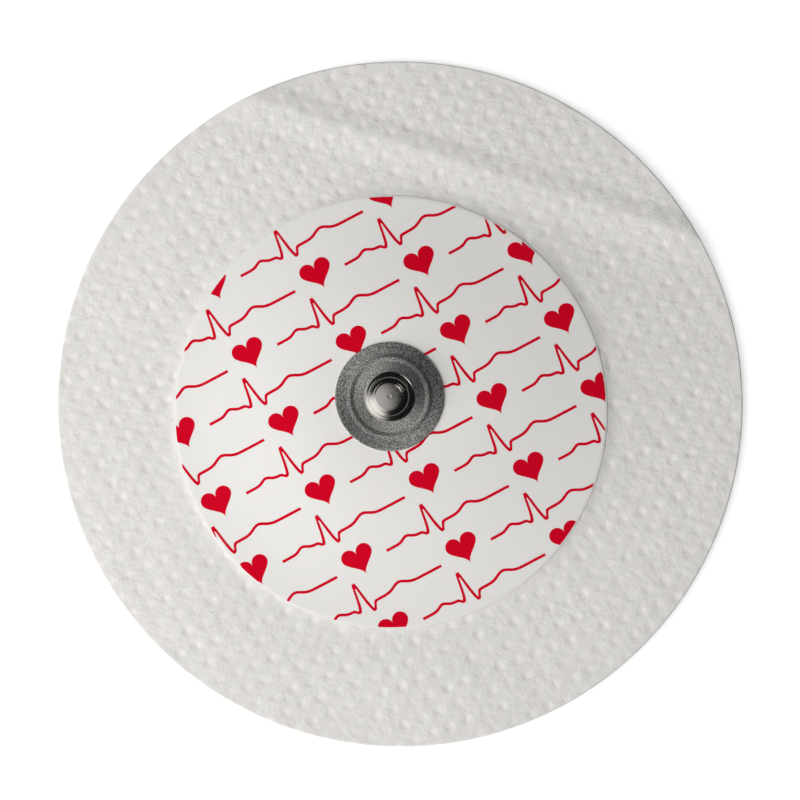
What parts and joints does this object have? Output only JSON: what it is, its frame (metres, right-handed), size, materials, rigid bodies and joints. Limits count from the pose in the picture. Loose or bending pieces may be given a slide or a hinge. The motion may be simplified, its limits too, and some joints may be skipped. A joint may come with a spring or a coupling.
{
  "type": "ecg electrode",
  "caption": "Round cloth-backed skin electrode with a white printed film label, a metal snap stud, a coated eyelet and a gel pad, for picking up heart signals.",
  "frame": {"origin": "centre of the round backing, on the skin plane that the electrode lies on", "axes": "+Z up from the skin plane through the snap stud, +X to the right and +Y up as the label is seen from above"},
  "size_m": [0.06, 0.06, 0.0053],
  "materials": {
    "gel": "wet translucent hydrogel",
    "silver_coat": "matt silver coat on plastic",
    "cloth": "soft white point-bonded nonwoven",
    "film": "satin white film with red print",
    "stud_metal": "matt flange and polished head"
  },
  "bodies": {
    "root": {"gel_pad": "gel", "sensor_eyelet": "silver_coat", "cloth_backing": "cloth", "label_film": "film", "snap_stud": "stud_metal"}
  },
  "joints": []
}
